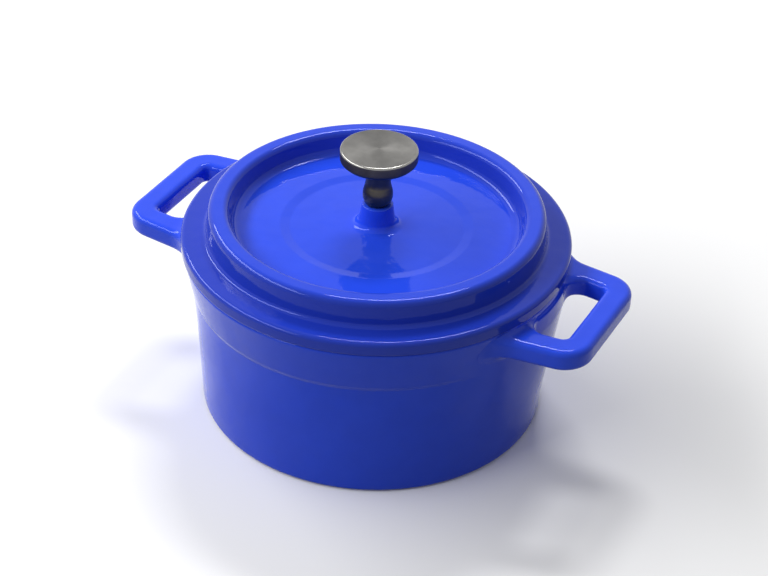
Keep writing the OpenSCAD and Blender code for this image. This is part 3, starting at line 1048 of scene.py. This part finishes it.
class COCOTTE_OT_screw(bpy.types.Operator):
    """Turn the screw, cut the cross into its head and wind its thread"""

    bl_idname = "cocotte.screw"
    bl_label = "Screw"

    def execute(self, context):
        s = context.scene.cocotte_knob
        head_z, seat_z, tip_z = SCREW_LOW.z, LOCK_LOW.z, SCREW_HIGH.z
        core_r = s.screw_r - THREAD_DEPTH
        screw = turned("pan_head_screw", [
            (0, head_z, 0),
            (SCREW_HIGH.x, head_z, HEAD_ROUND_R),
            (SCREW_HIGH.x, seat_z, HEAD_EDGE_R),
            (core_r, seat_z, 0),
            (core_r, tip_z, TIP_R),
            (0, tip_z, 0),
        ], closed=False, steps=SMALL_STEPS)
        for turn in (0, math.pi / 2):
            cut(screw, cross_arm(s, (0, 0, head_z), turn))
        ridge = thread(s, seat_z + s.thread_pitch, tip_z)
        bpy.ops.object.select_all(action="DESELECT")
        ridge.select_set(True)
        screw.select_set(True)
        context.view_layer.objects.active = screw
        bpy.ops.object.join()
        coat(screw, plating())
        finished(screw, LID_BODY, "screw_steel", "knob_screw")
        return {"FINISHED"}


class COCOTTE_OT_washers(bpy.types.Operator):
    """Turn the two washers and cut the split of the spring washer"""

    bl_idname = "cocotte.washers"
    bl_label = "Washers"

    def execute(self, context):
        s = context.scene.cocotte_knob
        hole_r = s.screw_r + s.washer_clearance
        lock = washer("spring_lock_washer", hole_r, LOCK_HIGH.x, LOCK_LOW.z, LOCK_HIGH.z, LOCK_EDGE_R)
        split = block(
            "split",
            (LOCK_HIGH.x, s.split_w, SPLIT_REACH * (LOCK_HIGH.z - LOCK_LOW.z)),
            ((s.screw_r + LOCK_HIGH.x) / 2, 0, (LOCK_LOW.z + LOCK_HIGH.z) / 2),
        )
        split.rotation_euler.x = SPLIT_SLANT
        cut(lock, split)
        coat(lock, plating())
        finished(lock, LID_BODY, "lock_washer_steel", "lock_washer")
        flat = washer("plain_washer", hole_r, FLAT_HIGH.x, FLAT_LOW.z, FLAT_HIGH.z, FLAT_EDGE_R)
        coat(flat, plating())
        finished(flat, LID_BODY, "flat_washer_steel", "flat_washer")
        return {"FINISHED"}


# --- Studio -----------------------------------------------------------------------------------

FLOOR_SIZE = 6  # Metres along each side
FLOOR_LIGHT = 0.3  # Share of the light that the floor gives back to the pot
SKY_LIGHT = 0.33  # Level of the sky's light on the pot
LAMP_AIM = Vector((0, 0, 50 * MM))  # The place that every lamp points at
CLIP_START = 10 * MM  # Nearest thing that the camera shows

# Lamps: name; place beyond the pot, to the left and up; length and width; watts
LAMPS = (
    ("left_softbox", (0.06, 0.68, 0.66), (1.6, 0.2), 10),
    ("back_softbox", (0.55, -0.06, 0.85), (0.31, 0.12), 4),
)


def posed(x, y, z, place):
    """The matrix of an object at a place, with its own axes along x, y and z."""
    return Matrix.Translation(place) @ Matrix((x, y, z)).transposed().to_4x4()


def place_camera(context, s, back, right):
    """The camera looks at the pot's middle from the direction back, turned by its roll."""
    up = back.cross(right)
    turned_right = right * math.cos(s.roll) + up * math.sin(s.roll)
    turned_up = up * math.cos(s.roll) - right * math.sin(s.roll)
    bpy.ops.object.camera_add()
    camera = context.object
    camera.name = "camera"
    camera.matrix_world = posed(turned_right, turned_up, back, back * s.distance + UP * s.target_z)
    camera.data.lens = s.lens
    camera.data.shift_x, camera.data.shift_y = s.shift
    camera.data.clip_start = CLIP_START
    context.scene.camera = camera


def place_lamp(name, place, size, power):
    """A rectangular lamp that points at the pot, its length level."""
    bpy.ops.object.light_add(type="AREA", location=place)
    lamp = bpy.context.object
    lamp.name = name
    lamp.data.shape = "RECTANGLE"
    lamp.data.size, lamp.data.size_y = size
    lamp.data.energy = power
    out = (place - LAMP_AIM).normalized()
    level = UP.cross(out).normalized()
    lamp.matrix_world = posed(level, out.cross(level), out, place)


def seen_as(tree, colour, light):
    """A colour for camera, mirror and glass rays, and a grey level for rays that light things."""
    path = add(tree, "LightPath").outputs
    seen = path["Is Camera Ray"]
    for ray in ("Is Glossy Ray", "Is Transmission Ray"):
        seen = add(tree, "Math", {0: seen, 1: path[ray]}, operation="MAXIMUM").outputs["Value"]
    faces = {"Factor": seen, "A": (light, light, light, 1), "B": colour}
    return add(tree, "Mix", faces, data_type="RGBA").outputs["Result"]


def set_floor(context):
    """A plain pale floor, which looks near white and lights the pot from below only a little."""
    bpy.ops.object.select_all(action="DESELECT")
    bpy.ops.mesh.primitive_plane_add(size=FLOOR_SIZE)
    floor = context.object
    floor.name = "floor"
    made, tree = material("matt_paper_pale")
    pale = seen_as(tree, linear(context.scene.cocotte_colours.floor), FLOOR_LIGHT)
    shade(tree, {"Base Color": pale, "Roughness": 0.9, "Specular IOR Level": 0})
    coat(floor, made)


def set_sky(context):
    """White where it is seen, dim where it lights."""
    world = bpy.data.worlds.new("studio")
    context.scene.world = world
    world.use_nodes = True
    tree = world.node_tree
    sky = seen_as(tree, (1, 1, 1, 1), SKY_LIGHT)
    tree.links.new(sky, tree.nodes["Background"].inputs["Color"])


class COCOTTE_OT_studio(bpy.types.Operator):
    """Set the pale floor, the two soft lamps, the sky and the camera"""

    bl_idname = "cocotte.studio"
    bl_label = "Studio"

    def execute(self, context):
        s = context.scene.cocotte_studio
        back = Vector((
            math.sin(s.azimuth) * math.cos(s.elevation),
            -math.cos(s.azimuth) * math.cos(s.elevation),
            math.sin(s.elevation),
        ))
        right = Vector((math.cos(s.azimuth), math.sin(s.azimuth), 0))
        place_camera(context, s, back, right)
        set_floor(context)
        set_sky(context)
        toward = Vector((back.x, back.y, 0)).normalized()
        for name, (far, left, high), size, power in LAMPS:
            place_lamp(name, -far * toward - left * right + high * UP, size, power)
        context.scene.view_settings.view_transform = "Standard"
        return {"FINISHED"}


# --- Add-on -----------------------------------------------------------------------------------

STEPS = (
    COCOTTE_OT_pot,
    COCOTTE_OT_handles,
    COCOTTE_OT_lid,
    COCOTTE_OT_knob,
    COCOTTE_OT_screw,
    COCOTTE_OT_washers,
    COCOTTE_OT_studio,
)
GROUPS = {
    "cocotte_pot": CocottePotSizes,
    "cocotte_lid": CocotteLidSizes,
    "cocotte_knob": CocotteKnobSizes,
    "cocotte_colours": CocotteColours,
    "cocotte_studio": CocotteStudio,
}


class COCOTTE_PT_panel(bpy.types.Panel):
    """Sizes, colours and steps of the cocotte"""

    bl_idname = "COCOTTE_PT_panel"
    bl_label = "Cocotte"
    bl_space_type = "VIEW_3D"
    bl_region_type = "UI"
    bl_category = "Cocotte"

    def draw(self, context):
        for group in GROUPS:
            box = self.layout.box()
            settings = getattr(context.scene, group)
            for key in settings.__annotations__:
                box.prop(settings, key)
        for step in STEPS:
            self.layout.operator(step.bl_idname)


def register():
    """Registers the classes and gives the scene their settings."""
    for made in (*GROUPS.values(), *STEPS, COCOTTE_PT_panel):
        bpy.utils.register_class(made)
    for name, group in GROUPS.items():
        setattr(bpy.types.Scene, name, PointerProperty(type=group))


def unregister():
    """Takes the settings and the classes away again."""
    for name in GROUPS:
        delattr(bpy.types.Scene, name)
    for made in reversed((*GROUPS.values(), *STEPS, COCOTTE_PT_panel)):
        bpy.utils.unregister_class(made)


def main():
    """Registers the add-on and builds every piece in order."""
    register()
    bpy.ops.cocotte.pot()
    bpy.ops.cocotte.handles()
    bpy.ops.cocotte.lid()
    bpy.ops.cocotte.knob()
    bpy.ops.cocotte.screw()
    bpy.ops.cocotte.washers()
    bpy.ops.cocotte.studio()


if __name__ == "__main__":
    main()
